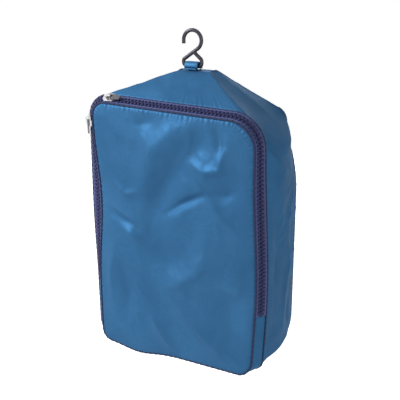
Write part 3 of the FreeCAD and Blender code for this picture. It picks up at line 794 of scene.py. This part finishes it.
def crinkled(grid):
    """Add the folds, crumples and seam puckers along the cloth's own normals."""
    count = len(grid)
    new = []
    for i in range(count):
        row = []
        for j, point in enumerate(grid[i]):
            along = grid[(i + 1) % count][j] - grid[i - 1][j]
            deep = grid[i][min(j + 1, depth_steps)] - grid[i][max(j - 1, 0)]
            normal = deep.cross(along)
            normal = normal.normalized() if normal.length > 1e-6 else Vector((0, 0, 1))
            share = j / depth_steps
            near = min(share, 1 - share) * gusset_depth
            held = 1 - math.exp(-(near / 7) ** 2)
            calm = 1 - 0.6 * ease((point.z + 130) / 40) * ease((point.x - 20) / 30)
            lift = 1.1 * crumple(*point, 42, 1.7) + 0.55 * crumple(*point, 15, 4.2)
            lift = (lift + 1.1 * facets(*point, 44, 3.1) + 0.4 * facets(*point, 18, 7.4)) * calm
            if point.x > side_from and point.z < side_top:
                lift += fold_height(point.y - seam_y, point.z, side_folds)
                lift += crease_step(point.y - seam_y, point.z) * (1 - math.exp(-share * 20))
            if point.x < -side_from and point.z < side_top:
                lift += 2.2 * crumple(0, point.y, point.z, 35, 8.4)
            pucker = 0.8 * math.sin(i * 1.9 + 2 * math.sin(i * 0.41)) * math.exp(-near / 3.5)
            row.append(point + normal * (lift * held + pucker * (1 - math.exp(-near / 1.5))))
        new.append(row)
    return new


grid = crinkled(grid)


def band_piece(name, picked, body, replaced):
    points = [p for i in picked for p in grid[i % len(grid)]]
    width = depth_steps + 1
    faces = [(i * width + j, i * width + j + 1, (i + 1) * width + j + 1, (i + 1) * width + j)
             for i in range(len(picked) - 1) for j in range(depth_steps)]
    return add_piece(name, points, faces, blue_nylon, body, replaced, cloth)


top_and_sides = band_piece("top_and_side_gusset", over_top, "bag",
                           ("top_panel", "left_gusset", "right_gusset"))

# ---- Bottom
# A nylon rectangle between the lower strip and the back, slung a little between its seams.
# It meets the gusset's two ends halfway round the lower corners.
bottom_cloth = band_piece("bottom_panel_cloth", under, "bag", ("bottom_panel",))

# ---- Back panel
# One stiffened cut of the same nylon, sewn to the gusset all round. It is slightly full in the
# middle, with a few soft folds that run in from its corners.
back_ring = [back_point(s) for s in back_stations]
back_loops = [[(p.x - s[4] * step, p.z - s[5] * step) for p, s in zip(back_ring, back_stations)]
              for step in (0, 0.6, 1.6, 3.2)]
back_flat, back_faces = fill_outline(back_loops, 4.0)
back_rim = np.array([(p.x, p.z) for p in back_ring])
back_folds = (
    (-4.0, 15, 1.8, ((-70, 286), (-30, 232), (-18, 170))),
    (-4.0, 15, 1.8, ((72, 282), (38, 226), (30, 160))),
    (3.5, 9, 1.2, ((-60, 190), (-20, 160), (40, 150))),
    (3.5, 9, 1.2, ((60, 110), (20, 70), (-20, 24))),
    (-3.5, 13, 1.8, ((-74, 120), (-56, 70), (-60, 30))),
)
back_points = []
for point in back_flat:
    away = np.hypot(*(back_rim - (point[0], point[1])).T)
    nearest = int(away.argmin())
    gap = away[nearest]
    swell = 4.5 * (1 - math.exp(-gap / 30)) + 1.5 * (1 - math.exp(-gap / 1.5)) - 0.8 * math.exp(-gap / 0.6)
    wave = 2.4 * crumple(point[0], 7, point[1], 62, 6.6) + 1.0 * crumple(point[0], 7, point[1], 24, 9.1)
    wave += 1.6 * facets(point[0], 7, point[1], 58, 4.4) + 0.6 * facets(point[0], 7, point[1], 22, 1.2)
    wave += fold_height(point[0], point[1] - bottom_z, back_folds)
    pucker = 0.9 * math.sin(nearest * 1.9 + 2 * math.sin(nearest * 0.33)) * math.exp(-gap / 5)
    back_points.append((point[0], back_y + swell + wave * (1 - math.exp(-(gap / 15) ** 2)) +
                        pucker * (1 - math.exp(-gap / 1.5)), point[1]))
back_cloth = add_piece("back_panel_cloth", back_points, [tuple(f)[::-1] for f in back_faces], blue_nylon,
                       "bag", ("back_panel",), 1.6)

# ---- Seam bindings, stitching and painted seam shade
# Inside, each seam's raw edges are bound with a narrow dark tape. Outside, a row of dark
# thread runs in the groove beside each seam. Beside the panel it is drawn far thicker than
# thread: there the dark cord is the thread and a painted shade line along the seam together.


def thread_material():
    """Spun thread: dark blue, with its twist as a fine ripple."""
    material, tree, shader = new_material("dark_thread")
    wave = add_node(tree, "ShaderNodeTexWave", {"Vector": on_piece(tree), "Scale": 700.0, "Distortion": 1.0},
                    bands_direction="DIAGONAL")
    twist = wave.outputs["Fac"]
    bump = add_node(tree, "ShaderNodeBump", {"Height": twist, "Strength": 0.4, "Distance": 0.0002})
    tree.links.new(two_tone(tree, twist, (0.006, 0.014, 0.055), (0.016, 0.032, 0.105)),
                   shader.inputs["Base Color"])
    tree.links.new(bump.outputs["Normal"], shader.inputs["Normal"])
    shader.inputs["Roughness"].default_value = 0.75
    return material


def rope(name, path, radius, body, closed, replaced=(), flat=1.0, uneven=0.0):
    """A thread or narrow tape along points; flat widens it across the seam."""
    points, faces, sides = [], [], 8
    count = len(path)
    for i, point in enumerate(path):
        ahead = path[(i + 1) % count] if closed or i < count - 1 else point
        behind = path[i - 1] if closed or i else point
        forward = (ahead - behind).normalized()
        side = forward.cross(Vector((0, 1, 0))).normalized()
        over = side.cross(forward)
        size = radius * (1 + uneven * math.sin(i * 2.1) * math.sin(i * 0.77))
        for k in range(sides):
            angle = 2 * math.pi * k / sides
            points.append(point + side * math.cos(angle) * size * flat + over * math.sin(angle) * size)
    for i in range(count if closed else count - 1):
        for k in range(sides):
            a, b = i * sides, (i + 1) % count * sides
            faces.append((a + k, a + (k + 1) % sides, b + (k + 1) % sides, b + k))
    if not closed:
        faces += [tuple(range(sides))[::-1], tuple(range((count - 1) * sides, count * sides))]
    return add_piece(name, points, faces, dark_thread, body, replaced)


dark_thread = thread_material()
panel_seam = [strip_point(s, -strip_half + 0.5, 0.35) for s in stations]
gusset_seam = [strip_point(s, strip_half - 0.4, 0.3) for s in stations]
# The panel seam's cord, 1.2 mm thick, is thread and painted seam shade together.
bend_at_fold(rope("panel_seam_thread_and_shade", panel_seam, 1.2, None, True, uneven=0.35))
rope("gusset_seam_thread", gusset_seam, 0.75, "bag", True, uneven=0.35)
rope("back_seam_thread", [p + Vector((0, 0.4, 0)) for p in back_ring], 0.55, "bag", True, uneven=0.3)

binding_flat = 3.2


def inset(ring, amount, shift):
    """A seam's ring moved inward and along the depth, for the tape bound round its edges."""
    return [p - Vector((s[4], 0, s[5])) * amount + Vector((0, shift, 0)) for p, s in zip(ring, stations)]


rope("seam_binding_front_tape", inset(gusset_seam, 2.6, 1.6), 0.5, "bag", True, ("seam_binding_front",),
     binding_flat)
rope("seam_binding_back_tape", inset(back_ring, 3.0, -0.9), 0.5, "bag", True, ("seam_binding_back",),
     binding_flat)
flap_ring = [p for p, s in zip(inset(panel_seam, 2.6, 2.4), stations) if p.z > fold_z + fold_reach + 3
             and s[0] in ("right", "upper_right", "top", "upper_left", "left")]
rope("seam_binding_flap_tape", flap_ring, 0.5, "flap", False, ("seam_binding_flap",), binding_flat)

# ---- Hanging loop
# A short piece of the same nylon, folded into a tape and passed round the hook's bar. Its colour is a
# lighter copy of the body's, painted light on the top of the bag. Its two feet lie flat on the peak,
# each held by a bar tack.
loop_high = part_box("hanging_loop")[1]
loop_half, loop_tape = loop_high.x / MM, 1.2
wire_radius, loop_inner, foot_bend = 2.2, 2.7, 1.6
bar_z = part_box("hook")[0].z / MM + wire_radius
loop_middle = loop_inner + loop_tape / 2
foot_end = loop_high.y / MM
line = []
for share in np.linspace(0, 1, 7):
    line.append((foot_end - (foot_end - loop_inner - foot_bend) * share, peak_z + loop_tape / 2, (0, 1)))
for share in np.linspace(0.25, 1, 4):
    angle = math.pi / 2 * share
    line.append((loop_inner + foot_bend - math.sin(angle), peak_z + loop_tape / 2 + (1 - math.cos(angle)),
                 (math.sin(angle), math.cos(angle))))
for share in np.linspace(0, 1, 13):
    angle = math.pi * share
    line.append((loop_middle * math.cos(angle), bar_z + loop_middle * math.sin(angle),
                 (math.cos(angle), math.sin(angle))))
for y, z, (out_y, out_z) in reversed(line[:11]):
    line.append((-y, z, (-out_y, out_z)))
loop_points, loop_faces = [], []
across_count = 14
for i, (y, z, (out_y, out_z)) in enumerate(line):
    for j in range(across_count + 1):
        share = j / across_count
        x = -loop_half + 2 * loop_half * share
        edge = 0.28 * (abs(2 * share - 1) ** 6)
        lift = loop_tape / 2 - edge + 0.12 * crumple(x, y, z, 4, 3.3)
        loop_points.append((x, y + out_y * lift, z + out_z * lift))
width = across_count + 1
for i in range(len(line) - 1):
    for j in range(across_count):
        loop_faces.append((i * width + j, i * width + j + 1, (i + 1) * width + j + 1, (i + 1) * width + j))
# The loop's nylon is a lighter copy of blue_nylon: painted light on the top of the bag.
loop_cloth = add_piece("hanging_loop_tape", loop_points, loop_faces,
                       nylon_material("loop_nylon_painted_lighter", (0.045, 0.165, 0.345), (0.062, 0.210, 0.410)),
                       "bag", ("hanging_loop",), loop_tape)

tack_half, tack_pitch, tack_away = 6.4, 0.8, 6.3
tack_points, tack_faces = [], []
for side in (-1, 1):
    for row in range(17):
        x = -tack_half + tack_pitch * row
        first = len(tack_points)
        for k in range(6):
            angle = 2 * math.pi * k / 6
            for y in (-0.85, -0.5, 0.5, 0.85):
                size = 0.42 if abs(y) < 0.7 else 0.15
                tack_points.append((x + size * math.cos(angle), side * tack_away + y,
                                    peak_z + loop_tape + 0.12 + size * 0.8 * math.sin(angle)))
        for k in range(6):
            for j in range(3):
                a, b = first + k * 4 + j, first + (k + 1) % 6 * 4 + j
                tack_faces.append((a, a + 1, b + 1, b))
        tack_faces += [tuple(first + k * 4 for k in range(6)),
                       tuple(first + k * 4 + 3 for k in range(6))[::-1]]
add_piece("loop_bar_tacks", tack_points, tack_faces, dark_thread, "bag", ("loop_tacks",))
